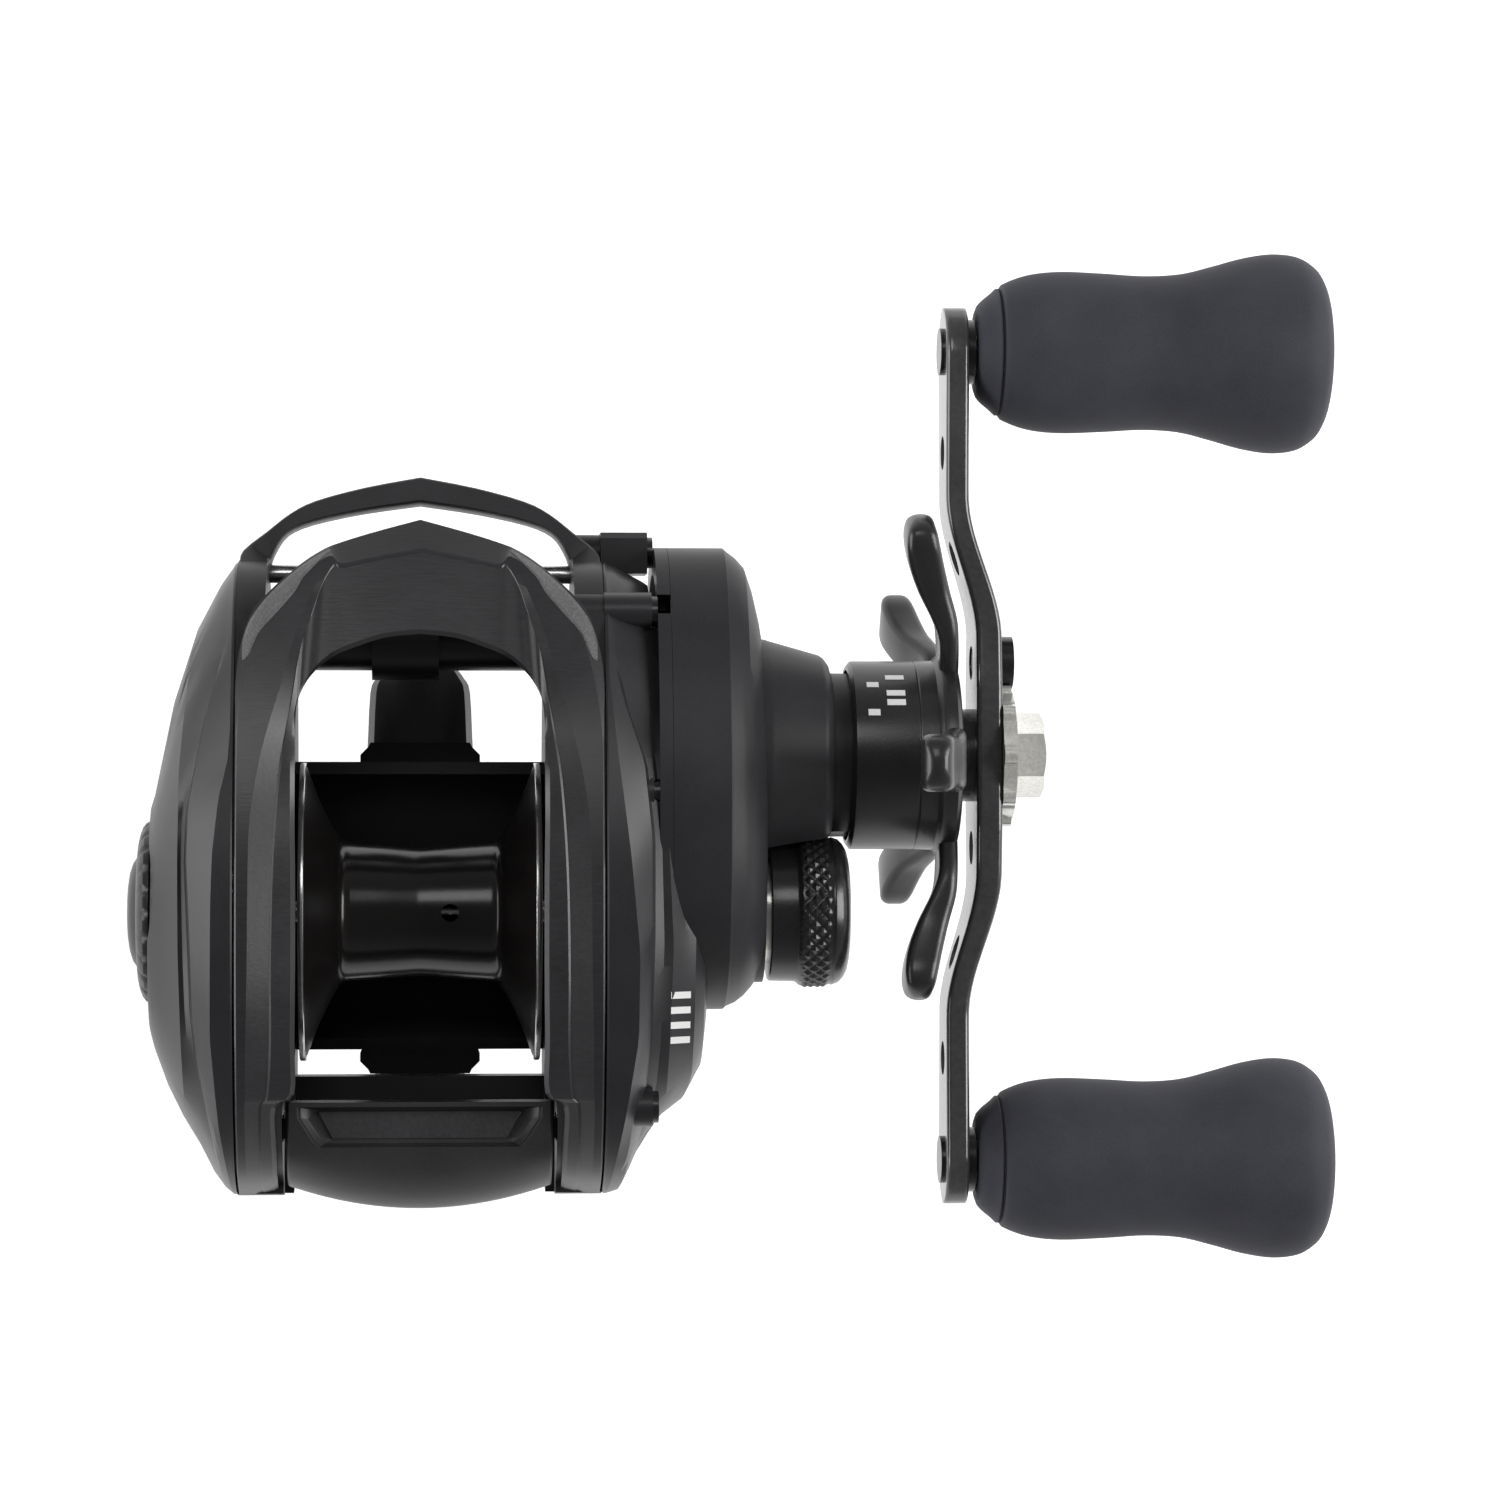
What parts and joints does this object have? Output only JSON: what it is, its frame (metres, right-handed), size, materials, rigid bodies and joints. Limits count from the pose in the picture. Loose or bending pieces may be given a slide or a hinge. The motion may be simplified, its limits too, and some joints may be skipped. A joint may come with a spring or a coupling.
{
  "type": "baitcasting reel",
  "caption": "Low-profile baitcasting reel with level wind, star drag, thumb clutch bar, cast brakes and a double-knob crank on the right.",
  "frame": {"origin": "centre of the flat seat on the underside of the reel foot", "axes": "+X along the spool axis towards the crank, +Y towards the line exit, +Z away from the rod"},
  "size_m": [0.163, 0.1372, 0.0629],
  "materials": {
    "body": "satin black graphite composite with a fine grain",
    "hood": "satin black with fine directional brushing",
    "inlay": "coarse dark grey texture",
    "foot": "satin black",
    "spool": "gloss black anodised, bare bright rims",
    "black_metal": "gloss black",
    "handle": "gloss black edge, polished faces",
    "steel": "ground",
    "bright": "bright nickel plating",
    "brass": "machined",
    "carbon": "woven carbon friction disc",
    "nylon": "natural nylon",
    "brake": "red plastic",
    "ceramic": "polished ceramic",
    "star": "satin black",
    "knob": "matt soft-touch charcoal",
    "bar": "gloss tray in a satin black bar"
  },
  "bodies": {
    "frame": {"frame": "body", "reel_foot": "foot", "foot_screws": "steel", "top_cover": "hood", "cover_inlays": "inlay", "yoke_posts": "steel", "gear_plate": "steel", "worm_tube": "body", "worm_bushings": "nylon", "guide_rod": "steel", "gear_side_cover": "body", "gear_case": "body", "case_screws": "black_metal", "one_way_clutch": "steel", "drive_bearing": "steel", "tension_boss": "bright", "spool_bearing_right": "steel"},
    "palm_cover": {"palm_side_cover": "body", "brake_race": "steel", "spool_bearing_left": "steel"},
    "brake_dial": {"brake_dial": "body"},
    "spool": {"spool": "spool", "spool_shaft": "steel", "brake_hub": "nylon", "brake_blocks": "brake", "drive_pin": "steel"},
    "clutch_yoke": {"clutch_yoke": "nylon", "yoke_springs": "steel"},
    "pinion": {"pinion_gear": "brass"},
    "crank": {"main_gear": "brass", "drive_shaft": "steel", "drag_washers": "carbon", "drag_plates": "steel", "ratchet": "steel", "level_wind_drive_gear": "nylon", "clutch_sleeve": "steel", "star_springs": "steel", "handle_washer": "black_metal", "handle_arm": "handle", "handle_nut": "bright", "nut_retainer": "bright", "retainer_screw": "black_metal", "knob_posts": "black_metal"},
    "drag_star": {"drag_star": "star", "star_nut": "brass"},
    "knob_front": {"knob_front": "knob", "knob_bushings_front": "nylon"},
    "knob_rear": {"knob_rear": "knob", "knob_bushings_rear": "nylon"},
    "worm": {"worm_shaft": "steel", "worm_gear": "nylon"},
    "line_guide": {"line_guide": "body", "guide_ring": "ceramic", "guide_pawl": "brass", "pawl_cap": "body"},
    "thumb_bar": {"thumb_bar": "bar", "clutch_plate": "steel"},
    "tension_cap": {"tension_cap": "black_metal", "tension_shims": "brass"},
    "anti_reverse_dog": {"anti_reverse_dog": "steel"}
  },
  "joints": [
    {"name": "palm_cover_off", "type": "slide", "parent": "frame", "child": "palm_cover", "axis": [-1, 0, 0], "range_m": [0, 0.03]},
    {"name": "brake_dial_turn", "type": "hinge", "parent": "palm_cover", "child": "brake_dial", "pos_m": [0, 0, 0.027], "axis": [-1, 0, 0], "range_deg": [0, 300]},
    {"name": "spool_spin", "type": "hinge", "parent": "frame", "child": "spool", "pos_m": [0, 0, 0.027], "axis": [1, 0, 0], "continuous": true},
    {"name": "clutch_yoke_shift", "type": "slide", "parent": "frame", "child": "clutch_yoke", "axis": [1, 0, 0], "range_m": [0, 0.002], "deforming": ["yoke_springs"]},
    {"name": "pinion_spin", "type": "hinge", "parent": "clutch_yoke", "child": "pinion", "pos_m": [0, 0, 0.027], "axis": [1, 0, 0], "continuous": true},
    {"name": "crank_turn", "type": "hinge", "parent": "frame", "child": "crank", "pos_m": [0, 0.0211, 0.024], "axis": [1, 0, 0], "continuous": true},
    {"name": "drag_star_turn", "type": "hinge", "parent": "crank", "child": "drag_star", "pos_m": [0, 0.0211, 0.024], "axis": [1, 0, 0], "range_deg": [-90, 270]},
    {"name": "knob_front_spin", "type": "hinge", "parent": "crank", "child": "knob_front", "pos_m": [0, 0.0761, 0.024], "axis": [1, 0, 0], "continuous": true},
    {"name": "knob_rear_spin", "type": "hinge", "parent": "crank", "child": "knob_rear", "pos_m": [0, -0.0339, 0.024], "axis": [1, 0, 0], "continuous": true},
    {"name": "worm_spin", "type": "hinge", "parent": "frame", "child": "worm", "pos_m": [0, 0.0364, 0.024], "axis": [1, 0, 0], "continuous": true},
    {"name": "line_guide_slide", "type": "slide", "parent": "frame", "child": "line_guide", "axis": [1, 0, 0], "range_m": [-0.0092, 0.0132]},
    {"name": "thumb_bar_press", "type": "slide", "parent": "frame", "child": "thumb_bar", "axis": [0, 0, -1], "range_m": [0, 0.005]},
    {"name": "tension_cap_turn", "type": "hinge", "parent": "frame", "child": "tension_cap", "pos_m": [0, 0, 0.027], "axis": [1, 0, 0], "range_deg": [-180, 180]},
    {"name": "anti_reverse_dog_tilt", "type": "hinge", "parent": "frame", "child": "anti_reverse_dog", "pos_m": [0.0324, 0.006, 0.0385], "axis": [-1, 0, 0], "range_deg": [0, 6.5]}
  ],
  "couplings": [
    {"joint": "spool_spin", "follows": "crank_turn", "ratio": -5.3},
    {"joint": "pinion_spin", "follows": "crank_turn", "ratio": -5.3},
    {"joint": "worm_spin", "follows": "crank_turn", "ratio": -2},
    {"joint": "clutch_yoke_shift", "follows": "thumb_bar_press", "ratio": 0.4}
  ]
}
